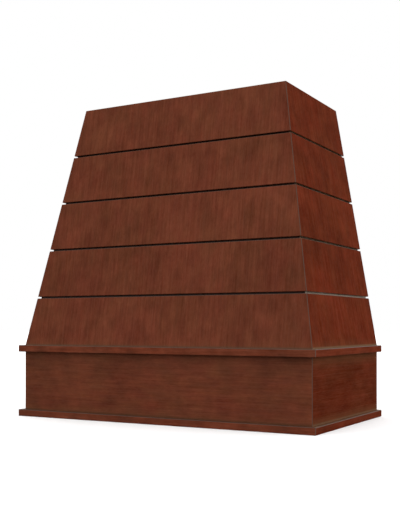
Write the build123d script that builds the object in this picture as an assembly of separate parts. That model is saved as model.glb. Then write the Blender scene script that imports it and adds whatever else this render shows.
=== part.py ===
"""Tapered wooden range hood cover: five courses of shiplap above a boxed apron with two trims.

The cover is a wall-hung shell that hides a ventilator insert and its duct. It stands here as it hangs:
+Z is up, -Y is the front, and the wall is the plane y = 0. The origin is the middle of the bottom edge,
on the wall. Sizes are in millimetres.

The front and both sides lean in by the same amount, so every mitre in the cover lies in one of two upright
planes that run back at 45 degrees from the front corners. Each band of the shell is therefore drawn once, as
a profile of (u, z) points, and made three times: u is the distance out from the apron's face, in front or at
either side, and z is the height.
"""

from build123d import *
import math
import os

# --- Overall form ---------------------------------------------------------------------------
body_width = 1066.8  # across the apron, without the trim
body_depth = 584.2  # from the wall to the apron's face
body_height = 1070.1
apron_reveal = 199.0  # height of apron that shows between the two trims
trim_height = 22.8
trim_projection = 16.5
trim_round = 2.4  # rounding of a trim's two outer edges
course_count = 5
taper_inset = 149.0  # how far each face leans in from the foot of the taper to the top

# --- Shiplap boards -------------------------------------------------------------------------
board_thickness = 19.05
rebate_depth = 9.5  # from the face to the front of the tongue: the depth of the open groove
groove_width = 6.35  # open joint between two courses
tongue_lap = 9.5  # how far a tongue reaches up behind the next board
tongue_clearance = 0.8  # room above the tongue for the wood to move
edge_round = 1.6  # rounding of the edges at a groove
corner_flat = 2.2  # width of the flat that eases each front corner

# --- Apron ----------------------------------------------------------------------------------
apron_thickness = 19.05
spline_thickness = 3.2
spline_width = 14.0
spline_inset = 13.0  # from the inner corner of the mitre, along the joint

# --- Hanging rails --------------------------------------------------------------------------
rail_thickness = 19.05
upper_rail_height = 140.0
lower_rail_height = 140.0
stud_spacing = 406.4  # between the two wall screws of a rail
wall_hole_radius = 2.75
upper_hole_drop = 75.0  # wall holes below the top edge
lower_hole_rise = 100.0  # wall holes above the bottom edge

# --- Inner framing --------------------------------------------------------------------------
nailer_reach = 38.0  # depth of the waist nailer from the apron's inner face
nailer_above = 60.0  # nailer above and below the joint between apron and taper
nailer_below = 60.0
top_rail_thickness = 19.05
top_rail_width = 70.0
post_width = 38.0
batten_thickness = 19.05
batten_width = 64.0

# --- Liner frame, which the ventilator insert is screwed up to ------------------------------
liner_rise = 38.0  # underside of the frame above the bottom edge
liner_thickness = 19.05
liner_side_width = 70.0
liner_cross_width = 100.0
insert_hole_spacing = 762.0  # along the front and the back rail
insert_hole_radius = 2.5

# --- Wood screws, with plain shanks ---------------------------------------------------------
screw_shank_radius = 2.1
screw_head_radius = 4.2
screw_head_depth = 2.6
screw_tip_length = 5.0
screw_clearance = 0.1  # radial room in the wood
board_bite = 12.0  # length in an apron or shiplap board
frame_bite = 30.0  # length in a post, batten or rail
nailer_screw_margin = 120.0  # from the end of a nailer's inner face to its first screw
front_nailer_screws = 4
side_nailer_screws = 2
liner_back_screws = 3
batten_screw_drops = (49.0, 112.0)  # from the top edge to the screws into a rear batten
post_screw_spread = (0.25, 0.75)  # up the part of a post that the lower hanging rail covers

# --- Heights and slope worked out from the sizes above --------------------------------------
taper_foot = 2 * trim_height + apron_reveal
taper_height = body_height - taper_foot
course_pitch = taper_height / course_count  # height of one course with its groove
top = body_height
lean = taper_inset / taper_height  # run per rise
lean_angle = math.atan(lean)
half_width = body_width / 2
nailer_foot = taper_foot - nailer_below
nailer_top = taper_foot + nailer_above
top_rail_foot = top - top_rail_thickness
liner_top = liner_rise + liner_thickness
inner_x = half_width - apron_thickness  # inner faces of the apron
inner_y = body_depth - apron_thickness
off_centre = post_width / 4  # from the middle of a post to the screws beside it
reach = body_width + body_depth + body_height  # longer than any piece, for cutting to length later

SIDES = {"left": -1, "right": 1}
PLACES = ("front", *SIDES)


def face_u(z, depth=0.0):
    """u of the leaning face at height z, or of the surface this deep behind it."""
    return -lean * (z - taper_foot) - depth / math.cos(lean_angle)


# --- How a band of the shell is made --------------------------------------------------------


def profile_face(points, rounded=(), radius=0.0):
    """A face in the (u, z) plane, with the numbered corners rounded to this radius."""
    face = make_face(Polyline(*points, close=True))
    corners = [face.vertices().sort_by_distance((*points[i], 0))[0] for i in rounded]
    return fillet(corners, radius) if corners else face


def long_band(place, face):
    """The profile run past both ends, in front of the cover or along its right or left side."""
    if place == "front":
        start = Plane(origin=(reach, -body_depth, 0), x_dir=(0, -1, 0), z_dir=(-1, 0, 0))
        return extrude(start * face, amount=2 * reach, dir=(-1, 0, 0))
    start = Plane(origin=(half_width, 0, 0), x_dir=(1, 0, 0), z_dir=(0, -1, 0))
    band = extrude(start * face, amount=reach, dir=(0, -1, 0))
    return band if place == "right" else mirror(band, about=Plane.YZ)


def mitre_plane(side):
    """The upright mitre plane at a front corner, with the side piece above it; side is -1 left, 1 right."""
    return Plane(origin=(side * half_width, -body_depth, 0), z_dir=(side, 1, 0))


def easing_plane(side, outer_u, slope):
    """The plane that takes the arris off a front corner, for faces at outer_u that lean in by slope."""
    across = Vector(side, -1, 2 * slope).normalized()
    corner = Vector(side * (half_width + outer_u), -(body_depth + outer_u), taper_foot)
    return Plane(origin=corner - across * (corner_flat / 2), z_dir=across)


def mitred(place, face, eased_at=None, slope=0.0):
    """One piece of a band, mitred at its front corners, and eased there if its outer face is at eased_at."""
    piece = long_band(place, face)
    for side in SIDES.values() if place == "front" else (SIDES[place],):
        kept = Keep.BOTTOM if place == "front" else Keep.TOP
        piece = split(piece, bisect_by=mitre_plane(side), keep=kept)
        if eased_at is not None:
            piece = split(piece, bisect_by=easing_plane(side, eased_at, slope), keep=Keep.BOTTOM)
    return piece


def box_between(low, high):
    """A box from its lowest to its highest corner."""
    size = [h - l for l, h in zip(low, high)]
    return Pos(*low) * Box(*size, align=(Align.MIN, Align.MIN, Align.MIN))


# --- Apron and trims ------------------------------------------------------------------------


def apron(place):
    """One board of the apron, from the bottom edge to the foot of the taper."""
    points = [(0, 0), (0, taper_foot), (-apron_thickness, taper_foot), (-apron_thickness, 0)]
    return mitred(place, profile_face(points), eased_at=0)


def trim(place, foot):
    """One strip of trim, planted on the apron's face, with its two outer edges rounded."""
    head = foot + trim_height
    points = [(0, foot), (trim_projection, foot), (trim_projection, head), (0, head)]
    return mitred(place, profile_face(points, (1, 2), trim_round), eased_at=trim_projection)


def apron_spline(side):
    """The loose tongue across an apron mitre, through the full height."""
    from_inner_face = spline_inset / math.sqrt(2)
    centre = (side * (inner_x + from_inner_face), -(inner_y + from_inner_face), taper_foot / 2)
    return Pos(*centre) * Rot(Z=side * 45) * Box(spline_width, spline_thickness, taper_foot)


# --- Shiplap --------------------------------------------------------------------------------


def shiplap_board(place, course):
    """One board, counted from 1 at the foot.

    Its upper edge leaves a tongue in the rear half of the thickness, which forms the bottom of the groove and
    laps behind the next board, and its lower edge is rebated for the tongue below. The edges are square to
    the slope, apart from the level foot of the first board and the level head of the last.
    """
    first, last = course == 1, course == course_count
    foot = taper_foot + (course - 1) * course_pitch
    half_groove = groove_width / 2 * math.cos(lean_angle)

    def edge(height, depth, level):
        """The point this deep in an edge that meets the face at this height."""
        z = height if level else height - depth * math.sin(lean_angle)
        return (face_u(z, depth), z)

    low = foot if first else foot + half_groove
    high = foot + course_pitch - (0 if last else half_groove)
    tongue_rise = (groove_width + tongue_lap) * math.cos(lean_angle)
    rebate_rise = (tongue_lap + tongue_clearance) * math.cos(lean_angle)
    points = [edge(low, 0, first), edge(high, 0, last)]
    if last:
        points += [edge(high, board_thickness, True)]
    else:
        points += [edge(high, rebate_depth, False), edge(high + tongue_rise, rebate_depth, False)]
        points += [edge(high + tongue_rise, board_thickness, False)]
    if first:
        points += [edge(low, board_thickness, True)]
    else:
        points += [edge(low + rebate_rise, depth, False) for depth in (board_thickness, rebate_depth)]
        points += [edge(low, rebate_depth, False)]
    rounded = ([] if first else [0]) + ([] if last else [1])
    return mitred(place, profile_face(points, rounded, edge_round), eased_at=0, slope=lean)


# --- Inner framing --------------------------------------------------------------------------


def waist_nailer(place):
    """The timber that ties the apron to the taper, planed to the slope above their joint."""
    inner = -(apron_thickness + nailer_reach)
    points = [
        (-apron_thickness, nailer_foot),
        (-apron_thickness, taper_foot),
        (face_u(taper_foot, board_thickness), taper_foot),
        (face_u(nailer_top, board_thickness), nailer_top),
        (inner, nailer_top),
        (inner, nailer_foot),
    ]
    return mitred(place, profile_face(points))


def top_rail(place):
    """One rail of the flat frame round the top opening, its outer edge planed to the boards."""
    outer = face_u(top, board_thickness)
    inner = outer - top_rail_width
    foot_outer = face_u(top_rail_foot, board_thickness)
    points = [(outer, top), (foot_outer, top_rail_foot), (inner, top_rail_foot), (inner, top)]
    rail = mitred(place, profile_face(points))
    if place != "front":
        rail -= box_between((-reach, -rail_thickness, 0), (reach, 0, 2 * top))
    return rail


def slanted_strip(place, thickness):
    """A strip this thick against the inside of the boards, from the waist nailer to the top rail."""
    points = []
    for z, inward in ((nailer_top, 0), (top_rail_foot, 0), (top_rail_foot, 1), (nailer_top, 1)):
        points.append((face_u(z, board_thickness) - inward * thickness, z))
    return long_band(place, profile_face(points))


def hip_post(place):
    """The post in a front corner of the taper, where a front strip and a side strip cross."""
    return slanted_strip("front", post_width) & slanted_strip(place, post_width)


def front_stud():
    """The stud behind the middle of the front boards."""
    middle = box_between((-batten_width / 2, -body_depth, 0), (batten_width / 2, 0, top))
    return slanted_strip("front", batten_thickness) & middle


def rear_batten(place):
    """The batten inside the back of the side boards, which the upper hanging rail is screwed to."""
    behind = box_between((-reach, -rail_thickness - batten_width, 0), (reach, -rail_thickness, top))
    return slanted_strip(place, batten_thickness) & behind


def apron_post_centre(place, end):
    """Where a corner post stands inside the apron, at its front or back end."""
    x = SIDES[place] * (inner_x - post_width / 2)
    y = -inner_y + post_width / 2 if end == "front" else -rail_thickness - post_width / 2
    return x, y


def apron_post(place, end):
    """A square post in a corner of the apron, from the liner frame up to the waist nailer."""
    height = nailer_foot - liner_top
    return Pos(*apron_post_centre(place, end), liner_top + height / 2) * Box(post_width, post_width, height)


# --- Hanging rails --------------------------------------------------------------------------


def wall_holes(height):
    """The pair of holes for the wall screws, through a hanging rail at this height."""
    bore = Rot(X=90) * Cylinder(wall_hole_radius, 2 * rail_thickness)
    return [Pos(x, -rail_thickness / 2, height) * bore for x in (-stud_spacing / 2, stud_spacing / 2)]


def upper_hanging_rail():
    """The rail across the top of the back, between the side boards."""
    foot = top - upper_rail_height
    wide = half_width + face_u(foot, board_thickness)
    narrow = half_width + face_u(top, board_thickness)
    outline = make_face(Polyline((-wide, foot), (wide, foot), (narrow, top), (-narrow, top), close=True))
    start = Plane(origin=(0, 0, 0), x_dir=(1, 0, 0), z_dir=(0, -1, 0))
    rail = extrude(start * outline, amount=rail_thickness, dir=(0, -1, 0))
    return rail - wall_holes(top - upper_hole_drop)


def lower_hanging_rail():
    """The rail across the bottom of the back, between the sides of the apron."""
    rail = box_between((-inner_x, -rail_thickness, 0), (inner_x, 0, lower_rail_height))
    return rail - wall_holes(lower_hole_rise)


# --- Liner frame ----------------------------------------------------------------------------

lap_height = liner_rise + liner_thickness / 2
opening_x = inner_x - liner_side_width
front_band = (-inner_y, -inner_y + liner_cross_width)  # y of the front rail's two edges
back_band = (-rail_thickness - liner_cross_width, -rail_thickness)


def liner_cross_rail(band):
    """The front or back rail of the liner frame, with the upper half of each end cut away for the lap."""
    rail = box_between((-inner_x, band[0], liner_rise), (inner_x, band[1], liner_top))
    for low_x in (-inner_x, opening_x):
        rail -= box_between((low_x, band[0], lap_height), (low_x + liner_side_width, band[1], liner_top))
    hole = Cylinder(insert_hole_radius, 2 * liner_thickness)
    half_spacing, middle = insert_hole_spacing / 2, sum(band) / 2
    return rail - [Pos(x, middle, lap_height) * hole for x in (-half_spacing, half_spacing)]


def liner_side_rail(place):
    """A side rail of the liner frame, with the lower half of each end cut away for the lap."""
    low_x = opening_x if place == "right" else -inner_x
    high_x = low_x + liner_side_width
    rail = box_between((low_x, front_band[0], liner_rise), (high_x, back_band[1], liner_top))
    for band in (front_band, back_band):
        rail -= box_between((low_x, band[0], liner_rise), (high_x, band[1], lap_height))
    return rail


# --- Screws ---------------------------------------------------------------------------------


def screw_at(seat, length, room=0.0):
    """A countersunk screw, its head flush at seat and facing along its z, or its hole if it is given room."""
    head, shank = screw_head_radius + room, screw_shank_radius + room
    outline = Polyline(
        (0, 0),
        (head, 0),
        (shank, -screw_head_depth),
        (shank, screw_tip_length - length),
        (0, -length - room),
        close=True,
    )
    return seat * revolve(Plane.XZ * make_face(outline), Axis.Z)


def seat_at(x, y, z, facing):
    """The place of a screw's head, and the way that it faces."""
    return Plane(origin=(x, y, z), z_dir=facing)


def spread(count, length, margin):
    """Evenly spaced places, symmetric about the middle of a length."""
    span = length - 2 * margin
    return [span * (i / (count - 1) - 0.5) for i in range(count)]


def nailer_screws(place):
    """Two rows of screws from inside the nailer: one into the apron, one into the first course."""
    inset = apron_thickness + nailer_reach
    apron_z, board_z = (nailer_foot + taper_foot) / 2, (nailer_top + taper_foot) / 2
    to_board = inset + face_u(board_z, board_thickness)
    rows = {apron_z: nailer_reach + board_bite, board_z: to_board + board_bite}
    screws = []
    for z, length in rows.items():
        if place == "front":
            clear = body_width - 2 * inset
            for x in spread(front_nailer_screws, clear, nailer_screw_margin):
                screws.append((seat_at(x, inset - body_depth, z, (0, 1, 0)), length))
        else:
            side, clear = SIDES[place], body_depth - inset
            for y in spread(side_nailer_screws, clear, nailer_screw_margin):
                seat = seat_at(side * (half_width - inset), y - clear / 2, z, (-side, 0, 0))
                screws.append((seat, length))
    return screws


def from_wall(x, z):
    """A screw from the wall side, through a hanging rail and into the frame in front of it."""
    return seat_at(x, 0, z, (0, 1, 0)), rail_thickness + frame_bite


def upper_rail_screws(side):
    """Two screws into a rear batten, and one into the end of a top side rail."""
    screws = []
    for drop in batten_screw_drops:
        z = top - drop
        screws.append(from_wall(side * (half_width + face_u(z, board_thickness) - batten_thickness / 2), z))
    rail_middle = half_width + face_u(top, board_thickness) - top_rail_width / 2
    screws.append(from_wall(side * rail_middle, top - top_rail_thickness / 2))
    return screws


def lower_rail_screws(side):
    """Two screws into a back post of the apron."""
    low, high = liner_top, min(lower_rail_height, nailer_foot)
    x = side * (inner_x - post_width / 2 - off_centre)  # clear of the screw up the middle of the post
    return [from_wall(x, low + share * (high - low)) for share in post_screw_spread]


def liner_back_rail_screws():
    """The row of screws into the back rail of the liner frame."""
    return [from_wall(x, lap_height) for x in spread(liner_back_screws, 2 * opening_x, post_width)]


def liner_lap_screw(place, end):
    """The screw up through a corner lap of the liner frame into the post above it."""
    return seat_at(*apron_post_centre(place, end), liner_rise, (0, 0, -1)), liner_thickness + frame_bite


def top_corner_screws(side):
    """Two screws down into a hip post, one through the front top rail and one through the side one."""
    inward = post_width / 2 - face_u(top_rail_foot, board_thickness)
    screws = []
    for step in (-off_centre, off_centre):
        x, y = half_width - inward + step, -body_depth + inward + step
        screws.append((seat_at(side * x, y, top, (0, 0, 1)), top_rail_thickness + frame_bite))
    return screws


# --- Assembly -------------------------------------------------------------------------------

parts = {}


def fasten(name, screws, joined):
    """Adds a group of screws, and cuts their holes in the pieces that they join."""
    parts.setdefault(name, [])
    parts[name] += [screw_at(seat, length) for seat, length in screws]
    holes = [screw_at(seat, length, screw_clearance) for seat, length in screws]
    for piece in joined:
        parts[piece] -= holes


def build_shell():
    """Everything that shows: shiplap, apron and trims."""
    for place in PLACES:
        for course in range(1, course_count + 1):
            parts[f"{place}_board_{course}"] = shiplap_board(place, course)
        parts[f"apron_{place}"] = apron(place)
        parts[f"upper_trim_{place}"] = trim(place, trim_height + apron_reveal)
        parts[f"lower_trim_{place}"] = trim(place, 0)
    for place, side in SIDES.items():
        spline = apron_spline(side)
        parts[f"apron_spline_{place}"] = spline
        parts["apron_front"] -= spline
        parts[f"apron_{place}"] -= spline


def build_frame():
    """The framing inside, the hanging rails and the liner frame."""
    for place in PLACES:
        parts[f"waist_nailer_{place}"] = waist_nailer(place)
        parts[f"top_rail_{place}"] = top_rail(place)
    parts["front_stud"] = front_stud()
    for place in SIDES:
        parts[f"hip_post_{place}"] = hip_post(place)
        parts[f"rear_batten_{place}"] = rear_batten(place)
        parts[f"liner_rail_{place}"] = liner_side_rail(place)
        for end in ("front", "back"):
            parts[f"apron_post_{end}_{place}"] = apron_post(place, end)
    parts["liner_rail_front"] = liner_cross_rail(front_band)
    parts["liner_rail_back"] = liner_cross_rail(back_band)
    parts["upper_hanging_rail"] = upper_hanging_rail()
    parts["lower_hanging_rail"] = lower_hanging_rail()


def add_screws():
    """All wood screws, in the order in which the cover goes together."""
    for place in PLACES:
        joined = (f"waist_nailer_{place}", f"apron_{place}", f"{place}_board_1")
        fasten("nailer_screws", nailer_screws(place), joined)
    for place, side in SIDES.items():
        for end in ("front", "back"):
            joined = (f"liner_rail_{end}", f"liner_rail_{place}", f"apron_post_{end}_{place}")
            fasten("liner_frame_screws", [liner_lap_screw(place, end)], joined)
        joined = ("top_rail_front", f"top_rail_{place}", f"hip_post_{place}")
        fasten("top_frame_screws", top_corner_screws(side), joined)
        joined = ("upper_hanging_rail", f"rear_batten_{place}", f"top_rail_{place}")
        fasten("hanging_rail_screws", upper_rail_screws(side), joined)
        joined = ("lower_hanging_rail", f"apron_post_back_{place}")
        fasten("hanging_rail_screws", lower_rail_screws(side), joined)
    fasten("hanging_rail_screws", liner_back_rail_screws(), ("lower_hanging_rail", "liner_rail_back"))


build_shell()
build_frame()
add_screws()

os.makedirs("parts", exist_ok=True)
for name, part in parts.items():
    export_step(Compound(children=part) if isinstance(part, list) else part, f"parts/{name}.step")
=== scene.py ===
"""Looks of a tapered wooden range hood cover: stained maple shiplap above a boxed apron with two trims.

The cover is shown as it stands on its lower edge. +Z is up, the front faces -Y, and the wall side is the plane
y = 0. Lengths are in metres, and those given in millimetres are multiplied by mm. Each section below holds one
piece or group of like pieces.
"""

import bmesh
import bpy
import math
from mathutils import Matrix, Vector


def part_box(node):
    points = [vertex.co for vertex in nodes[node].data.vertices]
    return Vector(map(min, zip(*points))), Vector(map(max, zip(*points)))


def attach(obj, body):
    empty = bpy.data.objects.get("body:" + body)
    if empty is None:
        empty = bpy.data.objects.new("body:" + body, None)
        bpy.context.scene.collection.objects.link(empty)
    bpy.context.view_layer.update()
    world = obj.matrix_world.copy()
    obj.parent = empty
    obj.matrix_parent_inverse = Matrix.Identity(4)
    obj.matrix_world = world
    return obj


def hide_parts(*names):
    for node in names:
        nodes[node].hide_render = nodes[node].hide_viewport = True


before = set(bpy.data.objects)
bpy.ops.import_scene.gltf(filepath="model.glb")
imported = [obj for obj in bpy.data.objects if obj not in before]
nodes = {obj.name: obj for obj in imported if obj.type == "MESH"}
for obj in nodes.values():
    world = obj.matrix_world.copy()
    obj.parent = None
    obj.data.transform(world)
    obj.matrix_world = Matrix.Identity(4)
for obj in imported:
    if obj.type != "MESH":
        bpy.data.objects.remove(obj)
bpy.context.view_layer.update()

# --- Shiplap boards -------------------------------------------------------------------------------------------
# Five courses of 19 mm maple-faced board on the front and both sides, mitred at the front corners. They are
# cut in sequence from one sheet, so the upright figure runs on across the grooves. The outside is wiped with
# a red-brown stain and sprayed with a dead-flat lacquer, and the inside is left bare.

mm = 0.001


def linear(colour):
    """An sRGB hex colour as the linear RGBA that a shader takes."""
    parts = [int(colour[i:i + 2], 16) / 255 for i in (1, 3, 5)]
    return (*[p / 12.92 if p <= 0.04045 else ((p + 0.055) / 1.055) ** 2.4 for p in parts], 1)


def add_node(tree, kind, inputs=(), stops=(), **settings):
    """A node of this kind with its settings, its inputs and, on a colour ramp, its (place, colour) stops.

    An input takes a value, a socket, or a node, whose first output in use is linked.
    """
    node = tree.nodes.new(kind)
    for name, value in settings.items():
        setattr(node, name, value)
    for key, value in dict(inputs).items():
        if isinstance(value, bpy.types.Node):
            value = next(output for output in value.outputs if output.enabled)
        if isinstance(value, bpy.types.NodeSocket):
            tree.links.new(value, node.inputs[key])
        else:
            node.inputs[key].default_value = value
    for count, (place, colour) in enumerate(stops):
        marks = node.color_ramp.elements
        mark = marks[count] if count < len(marks) else marks.new(place)
        mark.position, mark.color = place, linear(colour)
    return node


def new_material(name):
    """An empty material and its node tree."""
    material = bpy.data.materials.new(name)
    material.use_nodes = True
    material.node_tree.nodes.clear()
    return material, material.node_tree


def give(material, names):
    """Puts the material on these CAD nodes."""
    for name in names:
        mesh = nodes[name].data
        mesh.materials.clear()
        mesh.materials.append(material)


def figure(tree, cell, detail, shift):
    """Noise whose cells measure this many mm along x, y and z, as the grain draws them out.

    The shift moves it away from the others, so that no two figures share a pattern.
    """
    drawn = add_node(tree, "ShaderNodeMapping", {
        "Vector": add_node(tree, "ShaderNodeTexCoord").outputs["Object"],
        "Scale": [1 / (width * mm) for width in cell],
        "Location": (shift, shift, shift),
    })
    return add_node(tree, "ShaderNodeTexNoise", {
        "Vector": drawn, "Scale": 1.0, "Detail": detail, "Roughness": 0.55,
    })


def weighed(tree, figures):
    """The sum of some figures, each times its weight."""
    total = 0.0
    for pattern, weight in figures:
        total = add_node(tree, "ShaderNodeMath", {0: pattern, 1: weight, 2: total}, operation="MULTIPLY_ADD")
    return total


UP, TO_WALL = Vector((0, 0, 1)), Vector((0, 1, 0))
OUTWARD = {"front": Vector((0, -1, 0)), "left": Vector((-1, 0, 0)), "right": Vector((1, 0, 0))}
ASPECT = {"front": "front", "left": "sides", "right": "sides"}  # both sides look the same

# What the front and the sides look like: how much wider the figure is, the tone and gloss of the painted shade
# in the grooves, and the tone of dust and painted top light on what faces up; the sides' are paler, painted
# light.
FINISH = {
    "front": {"widened": 1.0, "painted_groove_tone": "#2A150C", "groove_gloss": 0.3, "dust_and_top_light": "#553A2D"},
    "sides": {"widened": 1.8, "painted_groove_tone": "#5E4830", "groove_gloss": 0.45, "dust_and_top_light": "#5E4738"},
}
STAIN_PLACES = (0.35, 0.5, 0.65)  # where the figure takes a stain's dark, mean and pale tone
COOL_TO_WARM = (0.38, 0.62)  # where the warmth starts to show and where it is in full
FIBRE_CONTRAST = (0.07, 0.034, 0.023)  # red, green and blue, from a fibre's trough to its crest
BARE_MAPLE = (0.3, "#C19F78"), (0.5, "#D2B48E"), (0.7, "#DFC7A5")
# The haze tone is painted light, and the arris tone is part wear and part painted highlight.
PAINTED_HAZE_TONE, WORN_AND_HIGHLIT_ARRIS = "#7A5A3C", "#544036"

# Where a layer on the wood starts to show and where it lies in full, in mm.
GROOVE_SHADE_DEPTH = (0.8, 3)  # behind the face
GROOVE_SHADE_FLOOR = (10.5, 9.8)  # behind the face too: the grooves are 9.5 deep, and nothing deeper takes the painted shade
LOWEST_GROOVE = (0, -10)  # above the middle of the second board
TOP_TONE_HEIGHT = (-150, 250)  # above the cover's foot, so that the upper ledge takes more of the top-face tone than the lower
HAZE_REACH, LINE_REACH = (28, 0), (7, 1.5)  # above a ledge
TOP_EDGE = (-0.3, -0.1)  # above the head of the last board

# The same by the way that a face turns, as the cosine of its angle.
TOP_FACE = (0.5, 0.9)  # to straight up
UNDERSIDE = (-0.4, -0.1)  # to straight up too: what faces down takes no greyed arris and no burnish
ARRIS = (0.97, 0.86)  # to the nearest axis
UNFINISHED = (0.49, 0.51)  # to the inside or to the wall


def stained_maple(
    piece, names, place, grain, tones, burnish, lean=0.0, painted_highlight_low_groove=None, painted_light_above_ledge=None, painted_light_below=None,
):
    """Maple on these nodes, stained and lacquered outside, with its grain upright or level.

    It gives the eye a red-brown that wanders between cool and warm in broad patches, under a fine fibre and
    with next to no shine. Painted shade darkens the grooves, the arrises are greyed, part wear and part painted
    highlight, and a little burnished, what faces up takes a tone of dust and painted top light, painted light
    and shade lie along the ledges and under the overhang, and the faces inside and at the wall are bare.

    tones are the dark, mean and pale tone of the cool and of the warm stain, and lean is how far the face leans
    in as it rises. painted_highlight_low_groove is the tone and gloss of a painted highlight in the lowest
    groove.
    painted_light_above_ledge is the height of a ledge, the share of the painted haze above it, and the share
    and tone of the painted line in its corner. painted_light_below is the height of an overhang, and the depth
    in mm, share and tone painted under it, darker as painted shade or paler as painted light.
    """
    finish = FINISH[ASPECT[place]]
    material, tree = new_material(f"stained_maple_{piece}_{place}")
    sideways = 0 if place == "front" else 1

    def cell(across, lengthwise):
        """A cell of the figure in mm, endless square to the face, so that a rounded edge keeps its pattern."""
        sizes = [math.inf] * 3
        sizes[sideways], sizes[2] = (across, lengthwise) if grain == "upright" else (lengthwise, across)
        sizes[sideways] *= finish["widened"]
        return sizes

    # Blotches, streaks along the grain and broad patches make the stain darker and paler, and others make it
    # cooler and warmer. The fibre of real maple is too fine for the render, so it is drawn 3 mm wide.
    taken_up = weighed(tree, [
        (figure(tree, cell(across=40, lengthwise=52), detail=2.5, shift=3.1), 0.36),
        (figure(tree, cell(across=8, lengthwise=70), detail=2.0, shift=7.7), 0.29),
        (figure(tree, cell(across=120, lengthwise=170), detail=1.5, shift=21.4), 0.35),
    ])
    warmth = weighed(tree, [
        (figure(tree, cell(across=38, lengthwise=70), detail=1.0, shift=11.9), 0.45),
        (figure(tree, cell(across=140, lengthwise=150), detail=1.0, shift=31.7), 0.55),
    ])
    fibre = weighed(tree, [
        (figure(tree, cell(across=3.6, lengthwise=130), detail=1.5, shift=1.3), 0.55),
        (figure(tree, cell(across=3, lengthwise=13), detail=1.0, shift=5.9), 0.45),
    ])
    cool, warm = [
        add_node(tree, "ShaderNodeValToRGB", {"Fac": taken_up}, zip(STAIN_PLACES, kind)) for kind in tones
    ]
    warmer = add_node(tree, "ShaderNodeMapRange", {
        "Value": warmth, "From Min": COOL_TO_WARM[0], "From Max": COOL_TO_WARM[1],
    })
    stain = add_node(tree, "ShaderNodeMix", {0: warmer, 6: cool, 7: warm}, data_type="RGBA")
    crest = add_node(tree, "ShaderNodeMath", {0: fibre, 1: 0.5}, operation="SUBTRACT")
    stain = add_node(tree, "ShaderNodeVectorMath", {
        0: crest, 1: FIBRE_CONTRAST, 2: stain,
    }, operation="MULTIPLY_ADD")

    # Where a point lies: its height, how far out along the face's normal, which way it faces, and how near that
    # way is to an axis.
    out = OUTWARD[place]
    low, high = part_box(names[0])
    square_out = (out + UP * lean).normalized()
    face = (out * max(low.dot(out), high.dot(out)) + UP * low.z).dot(square_out)
    point = add_node(tree, "ShaderNodeTexCoord").outputs["Object"]
    normal = add_node(tree, "ShaderNodeNewGeometry").outputs["Normal"]
    height = add_node(tree, "ShaderNodeVectorMath", {0: point, 1: UP}, operation="DOT_PRODUCT")
    how_far_out = add_node(tree, "ShaderNodeVectorMath", {0: point, 1: square_out}, operation="DOT_PRODUCT")
    facing_up = add_node(tree, "ShaderNodeVectorMath", {0: normal, 1: UP}, operation="DOT_PRODUCT")
    facing_in = add_node(tree, "ShaderNodeVectorMath", {0: normal, 1: -out}, operation="DOT_PRODUCT")
    facing_wall = add_node(tree, "ShaderNodeVectorMath", {0: normal, 1: TO_WALL}, operation="DOT_PRODUCT")
    turned = add_node(tree, "ShaderNodeVectorMath", {0: normal}, operation="ABSOLUTE")
    parts = add_node(tree, "ShaderNodeSeparateXYZ", {0: turned}).outputs
    squareness = add_node(tree, "ShaderNodeMath", {0: parts[0], 1: parts[1]}, operation="MAXIMUM")
    squareness = add_node(tree, "ShaderNodeMath", {0: squareness, 1: parts[2]}, operation="MAXIMUM")

    # What limits a layer: the floor of the painted groove shade, the height that the top-face tone grows with,
    # and what faces down, which takes no greyed arris.
    in_groove = add_node(tree, "ShaderNodeMapRange", {
        "Value": how_far_out, "From Min": face - GROOVE_SHADE_FLOOR[0] * mm, "From Max": face - GROOVE_SHADE_FLOOR[1] * mm,
    })
    by_height = add_node(tree, "ShaderNodeMapRange", {
        "Value": height, "From Min": TOP_TONE_HEIGHT[0] * mm, "From Max": TOP_TONE_HEIGHT[1] * mm,
    })
    not_facing_down = add_node(tree, "ShaderNodeMapRange", {
        "Value": facing_up, "From Min": UNDERSIDE[0], "From Max": UNDERSIDE[1],
    })
    # The grooves are painted darker, as shade, with their own gloss; on the sides the painted tone is paler.
    painted_groove_tone, groove_gloss = linear(finish["painted_groove_tone"]), finish["groove_gloss"]
    # On the sides the lowest groove takes a pale grey tone and more gloss: a painted highlight.
    if painted_highlight_low_groove:
        low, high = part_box(names[1])
        start, full = [(low.z + high.z) / 2 + reach * mm for reach in LOWEST_GROOVE]
        lowest = {"Value": height, "From Min": start, "From Max": full}
        share = add_node(tree, "ShaderNodeMapRange", lowest)
        tone, gloss = painted_highlight_low_groove
        painted_groove_tone = add_node(tree, "ShaderNodeMix", {0: share, 6: painted_groove_tone, 7: linear(tone)}, data_type="RGBA")
        groove_gloss = add_node(tree, "ShaderNodeMapRange", {**lowest, "To Min": groove_gloss, "To Max": gloss})

    # The layers, from the first to the last: what each goes by, where it starts to show and lies in full, its
    # full share, and its tone.
    layers = {
        # Painted shade darkens the grooves.
        "painted_groove_shade": (how_far_out, [face - depth * mm for depth in GROOVE_SHADE_DEPTH], in_groove, painted_groove_tone),
        # What faces up takes a tone that is part dust and part painted top light.
        "dusty_and_top_lit": (facing_up, TOP_FACE, by_height, linear(finish["dust_and_top_light"])),
    }
    # Above a ledge: a paler haze of painted light, and a corner line that is painted light on the boards and
    # sides and painted shade on the front apron.
    if painted_light_above_ledge:
        ledge, haze, line, tone = painted_light_above_ledge
        layers["hazed"] = (height, [ledge + reach * mm for reach in HAZE_REACH], haze, linear(PAINTED_HAZE_TONE))
        layers["lined"] = (height, [ledge + reach * mm for reach in LINE_REACH], line, linear(tone))
    # Under an overhang: painted shade on the front, and on the sides a paler painted light that eases the
    # shadow there.
    if painted_light_below:
        overhang, depth, share, tone = painted_light_below
        layers["shaded"] = (height, (overhang - depth * mm, overhang), share, linear(tone))
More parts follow.
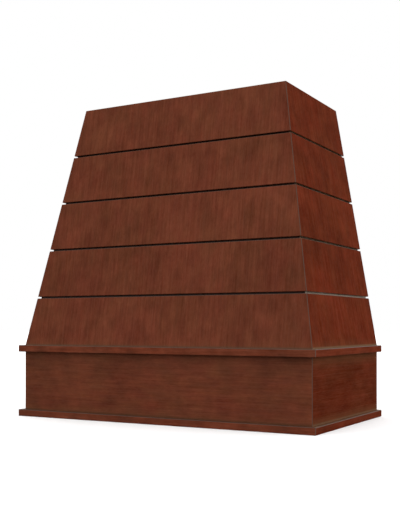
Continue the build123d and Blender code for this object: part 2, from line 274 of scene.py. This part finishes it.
    # The arrises are greyed, part wear and part painted highlight.
    layers["rubbed"] = (squareness, ARRIS, not_facing_down, linear(WORN_AND_HIGHLIT_ARRIS))
    cover = {}
    for layer, (value, (start, full), share, tone) in layers.items():
        cover[layer] = add_node(tree, "ShaderNodeMapRange", {
            "Value": value, "From Min": start, "From Max": full, "To Max": share,
        })
        stain = add_node(tree, "ShaderNodeMix", {0: cover[layer], 6: stain, 7: tone}, data_type="RGBA")

    # The bare wood inside, at the wall and, on the boards, along the level top edge.
    raw = add_node(tree, "ShaderNodeValToRGB", {"Fac": taken_up}, BARE_MAPLE)
    unseen = add_node(tree, "ShaderNodeMath", {0: facing_in, 1: facing_wall}, operation="MAXIMUM")
    bare = add_node(tree, "ShaderNodeMapRange", {
        "Value": unseen, "From Min": UNFINISHED[0], "From Max": UNFINISHED[1],
    })
    if lean:
        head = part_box(names[-1])[1].z
        sawn = add_node(tree, "ShaderNodeMapRange", {
            "Value": height, "From Min": head + TOP_EDGE[0] * mm, "From Max": head + TOP_EDGE[1] * mm,
        })
        bare = add_node(tree, "ShaderNodeMath", {0: bare, 1: sawn}, operation="MAXIMUM")

    # The lacquer is flat, so only the painted groove shade that the top-face tone leaves free shines, and an
    # arris a little.
    clean = add_node(tree, "ShaderNodeMapRange", {"Value": cover["dusty_and_top_lit"], "To Min": groove_gloss, "To Max": 0.0})
    gloss_in_grooves = add_node(tree, "ShaderNodeMath", {0: cover["painted_groove_shade"], 1: clean}, operation="MULTIPLY")
    on_arrises = add_node(tree, "ShaderNodeMath", {0: cover["rubbed"], 1: burnish}, operation="MULTIPLY")
    gloss = add_node(tree, "ShaderNodeMath", {0: gloss_in_grooves, 1: on_arrises}, operation="MAXIMUM")
    shader = add_node(tree, "ShaderNodeBsdfPrincipled", {
        "Base Color": add_node(tree, "ShaderNodeMix", {0: bare, 6: stain, 7: raw}, data_type="RGBA"),
        "Roughness": 0.85,
        "Specular IOR Level": 0.005,
        "Coat Weight": add_node(tree, "ShaderNodeMapRange", {"Value": bare, "To Min": gloss, "To Max": 0.0}),
        "Coat Roughness": 0.3,
        "Normal": add_node(tree, "ShaderNodeBump", {"Height": fibre, "Strength": 0.12, "Distance": 0.2 * mm}),
    })
    add_node(tree, "ShaderNodeOutputMaterial", {"Surface": shader})
    give(material, names)


first_board, last_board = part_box("front_board_1"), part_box("front_board_5")
slope = (last_board[0].y - first_board[0].y) / (last_board[0].z - first_board[0].z)
upper_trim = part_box("upper_trim_front")
# The front's tones are paler and greyer than the sides': a painted reflection on the front.
BOARDS = {
    "front": {
        "tones": (("#532C1D", "#603423", "#6D3C29"), ("#562A1D", "#633223", "#703A29")),
        "painted_light_above_ledge": (upper_trim[1].z, 0.08, 0.6, "#534234"),
    },
    "sides": {
        "tones": (("#4F2112", "#5D2917", "#6B311C"), ("#532011", "#612716", "#6F2E1C")),
        "painted_light_above_ledge": (upper_trim[1].z, 0.17, 0.85, "#6F5A45"),
        "painted_highlight_low_groove": ("#877560", 0.65),
    },
}
for place in OUTWARD:
    names = [f"{place}_board_{course}" for course in range(1, 6)]
    stained_maple("boards", names, place, "upright", burnish=0.15, lean=slope, **BOARDS[ASPECT[place]])

# --- Apron ----------------------------------------------------------------------------------------------------
# One wide maple-faced board on each side, mitred at the front with a loose tongue. Its grain is level, and it
# took a little more stain than the boards above.

lower_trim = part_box("lower_trim_front")
# The front's tones are paler and greyer than the sides': a painted reflection on the front.
APRON = {
    "front": {
        "tones": (("#522C1E", "#5F3423", "#6C3C27"), ("#572A1E", "#643223", "#713A28")),
        "painted_light_above_ledge": (lower_trim[1].z, 0.13, 0.5, "#3C3224"),
        "painted_light_below": (upper_trim[0].z, 80, 0.25, "#3A2E20"),
    },
    "sides": {
        "tones": (("#491E0F", "#582715", "#66301D"), ("#4D1D0F", "#5C2615", "#6A2F1D")),
        "painted_light_above_ledge": (lower_trim[1].z, 0.31, 0.6, "#6F5A45"),
        "painted_light_below": (upper_trim[0].z, 40, 0.3, "#7A5A3C"),
    },
}
for place in OUTWARD:
    stained_maple("apron", [f"apron_{place}"], place, "level", burnish=0.15, **APRON[ASPECT[place]])

# --- Trims ----------------------------------------------------------------------------------------------------
# Strips of solid maple, mitred and planted on the apron's face along its upper and its lower edge. Their outer
# arrises are rounded and stand proud, so these are rubbed the most.

# The front's tones are greyer than the sides': a painted reflection. The sides' arrises get more burnish, for
# the light.
TRIMS = {
    "front": {
        "tones": (("#502A1D", "#623424", "#743F2D"), ("#54291B", "#663221", "#783D2A")), "burnish": 0.2,
    },
    "sides": {
        "tones": (("#502315", "#632D1C", "#753725"), ("#542111", "#672B19", "#793621")), "burnish": 0.6,
    },
}
for place in OUTWARD:
    names = [f"{row}_trim_{place}" for row in ("upper", "lower")]
    stained_maple("trims", names, place, "level", **TRIMS[ASPECT[place]])

# --- Framing inside -------------------------------------------------------------------------------------------
# Posts, rails, nailers, battens and the loose tongues are planed poplar, left bare, because no one sees them
# once the cover hangs. The wood is sawn along its length, so its figure is made once for each way that it runs.

RUNS = {
    "x": ("top_rail_front", "waist_nailer_front", "liner_rail_front", "liner_rail_back", "hanging_rail"),
    "y": ("top_rail_", "waist_nailer_", "liner_rail_"),
    "z": ("front_stud", "hip_post_", "rear_batten_", "apron_post_", "apron_spline_"),
}
STREAK, PORE = (22, 320), (2.4, 60)  # in mm, across and along the grain

# Planed poplar gives the eye a pale and dull straw with greenish brown streaks along the piece. Its pores are
# finer than the render shows, so they are drawn 2.4 mm wide.
left_over = [name for name in nodes if "screws" not in name]
for axis, words in RUNS.items():
    material, tree = new_material(f"planed_poplar_bare_along_{axis}")
    broad, fine = [[along if way == axis else across for way in "xyz"] for across, along in (STREAK, PORE)]
    streaks = weighed(tree, [
        (figure(tree, broad, detail=3.0, shift=5.2), 0.65), (figure(tree, fine, detail=2.0, shift=9.4), 0.35),
    ])
    poplar = add_node(tree, "ShaderNodeValToRGB", {"Fac": streaks}, [
        (0.32, "#A3905F"), (0.46, "#C2AC7B"), (0.56, "#CFBA8C"), (0.68, "#DCCB9F"),
    ])
    shader = add_node(tree, "ShaderNodeBsdfPrincipled", {
        "Base Color": poplar,
        "Roughness": 0.7,
        "Specular IOR Level": 0.3,
        "Normal": add_node(tree, "ShaderNodeBump", {"Height": streaks, "Strength": 0.15, "Distance": 0.3 * mm}),
    })
    add_node(tree, "ShaderNodeOutputMaterial", {"Surface": shader})
    taken = [name for name in left_over if any(word in name for word in words)]
    give(material, taken)
    left_over = [name for name in left_over if name not in taken]

# --- Wood screws ----------------------------------------------------------------------------------------------
# Countersunk wood screws with a cross recess, of hardened steel with a yellow zinc plate. They are driven
# flush, so inside and behind only their heads show. Each takes its place and length from its CAD screw.

# All of a screw's sizes are in mm.
HEAD_RADIUS, HEAD_DEPTH = 4.15, 2.6
ARM_HALF_WIDTH, ARM_REACH = 0.6, 2.1  # of the cross recess
RECESS_DEPTH, RECESS_TAPER = 1.9, 0.35  # how deep the recess is, and how wide its floor beside its mouth
CREST, ROOT, PITCH = 2.05, 1.45, 2.6  # radius over and between the threads, and from thread to thread
PLAIN_NECK, POINT = 6.0, 7.0
RINGS_PER_TURN = 4
BETWEEN_ARMS = (26, 45, 64)  # degrees, where a ring has points beside those at the recess's arms


def recess_radius(angle):
    """How far the cross recess reaches from the screw's axis at this angle."""
    off_arm = abs((angle + math.pi / 4) % (math.pi / 2) - math.pi / 4)
    return min(ARM_REACH / math.cos(off_arm), ARM_HALF_WIDTH / max(math.sin(off_arm), 1e-6))


def shank_radius(depth, angle, length):
    """Radius this far below the head's top: a neck, a thread that fades in, and a point."""
    turn = (depth / PITCH - angle / (2 * math.pi)) % 1
    rise = 1 - abs(2 * turn - 1)
    fade = min(1, max(0, (depth - HEAD_DEPTH - PLAIN_NECK) / PITCH))
    run_out = min(1, (length - depth) / POINT)
    return (ROOT + (CREST - ROOT) * rise * fade) * run_out


def wood_screw(length):
    """One screw as a mesh, its head's top at the origin and its point this many mm below."""
    corner_angle = math.atan2(ARM_HALF_WIDTH, ARM_REACH)
    quarter = [-corner_angle, corner_angle, *map(math.radians, BETWEEN_ARMS)]
    angles = [turn * math.pi / 2 + a for turn in range(4) for a in quarter]
    steps = math.ceil((length - HEAD_DEPTH) / (PITCH / RINGS_PER_TURN))
    rings = [
        [(RECESS_TAPER * recess_radius(a), RECESS_DEPTH) for a in angles],
        [(recess_radius(a), 0) for a in angles],
        [(HEAD_RADIUS, 0) for a in angles],
    ]
    for step in range(steps):
        depth = HEAD_DEPTH + (length - HEAD_DEPTH) * step / steps
        rings.append([(shank_radius(depth, a, length), depth) for a in angles])
    shape = bmesh.new()
    rows = []
    for ring in rings:
        rows.append([
            shape.verts.new((r * math.cos(a) * mm, r * math.sin(a) * mm, -depth * mm))
            for a, (r, depth) in zip(angles, ring)
        ])
    for upper, lower in zip(rows, rows[1:]):
        for i, corner in enumerate(upper):
            shape.faces.new((upper[i - 1], corner, lower[i], lower[i - 1]))
    point = shape.verts.new((0, 0, -length * mm))
    for i, corner in enumerate(rows[-1]):
        shape.faces.new((rows[-1][i - 1], corner, point))
    shape.faces.new(rows[0])
    bmesh.ops.recalc_face_normals(shape, faces=shape.faces)
    mesh = bpy.data.meshes.new(f"wood_screw_{length:.0f}_mm")
    shape.to_mesh(mesh)
    shape.free()
    return bpy.data.objects.new(mesh.name, mesh)


def seats(name):
    """Head centre, facing and length in mm of every screw in a CAD node, from the mesh of its solids."""
    touching, level = 0.01 * mm, 0.1 * mm
    copy = bmesh.new()
    copy.from_mesh(nodes[name].data)
    bmesh.ops.remove_doubles(copy, verts=copy.verts, dist=touching)
    left, found = set(copy.verts), []
    while left:
        island, front = set(), [left.pop()]
        while front:
            vert = front.pop()
            island.add(vert)
            front += [e.other_vert(vert) for e in vert.link_edges if e.other_vert(vert) in left]
            left.difference_update(front)
        low = Vector([min(v.co[i] for v in island) for i in range(3)])
        high = Vector([max(v.co[i] for v in island) for i in range(3)])
        size = high - low
        axis = max(range(3), key=lambda i: size[i])
        # The head is the end with a rim of points, and the other end is a single one.
        sign = 1 if sum(v.co[axis] > high[axis] - level for v in island) > 1 else -1
        facing = Vector([sign * (i == axis) for i in range(3)])
        found.append(((low + high) / 2 + facing * size[axis] / 2, facing, size[axis] / mm))
    copy.free()
    # A set has no fixed order, so the screws are put in order by place, and each run turns them alike.
    return sorted(found, key=lambda seat: [round(value / mm) for value in seat[0]])


# Puts a screw on every point, turned to its facing and spun by chance about its own axis.
fastening = bpy.data.node_groups.new("screws_on_points", "GeometryNodeTree")
fastening.interface.new_socket("Geometry", in_out="INPUT", socket_type="NodeSocketGeometry")
screw_socket = fastening.interface.new_socket("Screw", in_out="INPUT", socket_type="NodeSocketObject")
plate_socket = fastening.interface.new_socket("Plating", in_out="INPUT", socket_type="NodeSocketMaterial")
seed_socket = fastening.interface.new_socket("Seed", in_out="INPUT", socket_type="NodeSocketInt")
fastening.interface.new_socket("Geometry", in_out="OUTPUT", socket_type="NodeSocketGeometry")
given = add_node(fastening, "NodeGroupInput").outputs
facing = add_node(fastening, "GeometryNodeInputNamedAttribute", {"Name": "facing"}, data_type="FLOAT_VECTOR")
placed = add_node(fastening, "GeometryNodeInstanceOnPoints", {
    "Points": given["Geometry"],
    "Instance": add_node(fastening, "GeometryNodeObjectInfo", {"Object": given["Screw"]}).outputs["Geometry"],
    "Rotation": add_node(fastening, "FunctionNodeAlignRotationToVector", {"Vector": facing}, axis="Z"),
})
spun = add_node(fastening, "GeometryNodeRotateInstances", {
    "Instances": placed,
    "Rotation": add_node(fastening, "FunctionNodeRandomValue", {
        "Min": (0, 0, 0), "Max": (0, 0, 2 * math.pi), "Seed": given["Seed"],
    }, data_type="FLOAT_VECTOR"),
    "Local Space": True,
})
solid = add_node(fastening, "GeometryNodeRealizeInstances", {"Geometry": spun})
plated = add_node(fastening, "GeometryNodeSetMaterial", {"Geometry": solid, "Material": given["Plating"]})
add_node(fastening, "NodeGroupOutput", {"Geometry": plated})

# Yellow zinc plate gives the eye a soft gold gleam that turns silvery in spots of 3 mm.
zinc, tree = new_material("yellow_zinc_plated_steel")
spots = figure(tree, (3, 3, 3), detail=3.0, shift=2.7)
plating = add_node(tree, "ShaderNodeValToRGB", {"Fac": spots}, [
    (0.3, "#B59A58"), (0.5, "#C9B574"), (0.7, "#CDBF93"),
])
shader = add_node(tree, "ShaderNodeBsdfPrincipled", {
    "Base Color": plating, "Metallic": 1.0, "Roughness": 0.34,
})
add_node(tree, "ShaderNodeOutputMaterial", {"Surface": shader})


def driven(group, length, places, seed):
    """The screws of one length in a group, as a mesh."""
    points = bpy.data.meshes.new(f"{group}_places")
    points.from_pydata([place for place, _ in places], [], [])
    facings = points.attributes.new("facing", "FLOAT_VECTOR", "POINT")
    facings.data.foreach_set("vector", [value for _, way in places for value in way])
    carrier = bpy.data.objects.new(f"{group}_places", points)
    bpy.context.scene.collection.objects.link(carrier)
    repeat = carrier.modifiers.new("screws", "NODES")
    repeat.node_group = fastening
    repeat[screw_socket.identifier] = wood_screw(length)
    repeat[plate_socket.identifier] = zinc
    repeat[seed_socket.identifier] = seed
    graph = bpy.context.evaluated_depsgraph_get()
    mesh = bpy.data.meshes.new_from_object(carrier.evaluated_get(graph), depsgraph=graph)
    carrier.modifiers.remove(repeat)
    bpy.data.objects.remove(carrier)
    return mesh


for number, group in enumerate(name for name in nodes if "screws" in name):
    by_length = {}
    for place, way, length in seats(group):
        by_length.setdefault(round(length, 1), []).append((place, way))
    joined = bmesh.new()
    for length, places in by_length.items():
        joined.from_mesh(driven(group, length, places, number))
    mesh = bpy.data.meshes.new(f"{group}_driven")
    joined.to_mesh(mesh)
    joined.free()
    mesh.materials.append(zinc)
    piece = bpy.data.objects.new(mesh.name, mesh)
    bpy.context.scene.collection.objects.link(piece)
    give(zinc, [group])
    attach(piece, "root")
    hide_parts(group)

# --- Camera ---------------------------------------------------------------------------------------------------
# The photograph was taken from the right of the front, level and a little above the apron. The camera's place,
# turn and lens were fitted to the edges in it, and the shift moves the frame up without a tilt.

camera = bpy.data.objects.new("camera", bpy.data.cameras.new("camera"))
bpy.context.scene.collection.objects.link(camera)
camera.location = (1.4698, -2.8849, 0.3138)
camera.rotation_euler = (math.pi / 2, 0, 0.5163)
camera.data.lens = 58.31
camera.data.sensor_width = 36
camera.data.shift_y = 0.1111
bpy.context.scene.camera = camera

# --- Floor and light ------------------------------------------------------------------------------------------
# The floor is a wide sheet of white paper, and the studio is an even white dome. Both show plain white, but the
# floor throws little light back up, as if it were darker, so that the undersides stay in shade.

FLOOR_REACH = 30  # in metres, to each side
FLOOR_SEEN, FLOOR_LIGHTING = (0.98, 0.98, 0.98, 1), (0.25, 0.25, 0.25, 1)
DOME_SEEN, DOME_LIGHTING = 1.0, 1.5


def plainly_seen(tree):
    """1 for rays from the camera and for those that gloss or glass would show, 0 for the rest."""
    path = add_node(tree, "ShaderNodeLightPath").outputs
    seen = path["Is Camera Ray"]
    for ray in ("Is Glossy Ray", "Is Transmission Ray"):
        seen = add_node(tree, "ShaderNodeMath", {0: seen, 1: path[ray]}, operation="MAXIMUM")
    return seen


floor_mesh = bpy.data.meshes.new("floor")
corners = [(-1, -1), (1, -1), (1, 1), (-1, 1)]
floor_mesh.from_pydata([(x * FLOOR_REACH, y * FLOOR_REACH, 0) for x, y in corners], [], [(0, 1, 2, 3)])
floor = bpy.data.objects.new("floor", floor_mesh)
bpy.context.scene.collection.objects.link(floor)

# Matt paper gives the eye a plain white ground with a soft shadow of the cover and no shine.
paper, tree = new_material("matt_white_paper")
tone = add_node(tree, "ShaderNodeMix", {
    0: plainly_seen(tree), 6: FLOOR_LIGHTING, 7: FLOOR_SEEN,
}, data_type="RGBA")
shader = add_node(tree, "ShaderNodeBsdfDiffuse", {"Color": tone})
add_node(tree, "ShaderNodeOutputMaterial", {"Surface": shader})
floor_mesh.materials.append(paper)

world = bpy.data.worlds.new("studio")
world.use_nodes = True
tree = world.node_tree
tree.nodes.clear()
dome = add_node(tree, "ShaderNodeBackground", {"Color": (1, 1, 1, 1), "Strength": DOME_LIGHTING})
white = add_node(tree, "ShaderNodeBackground", {"Color": (1, 1, 1, 1), "Strength": DOME_SEEN})
mixed = add_node(tree, "ShaderNodeMixShader", {0: plainly_seen(tree), 1: dome, 2: white})
add_node(tree, "ShaderNodeOutputWorld", {"Surface": mixed})
bpy.context.scene.world = world

bpy.context.scene.view_settings.view_transform = "Standard"
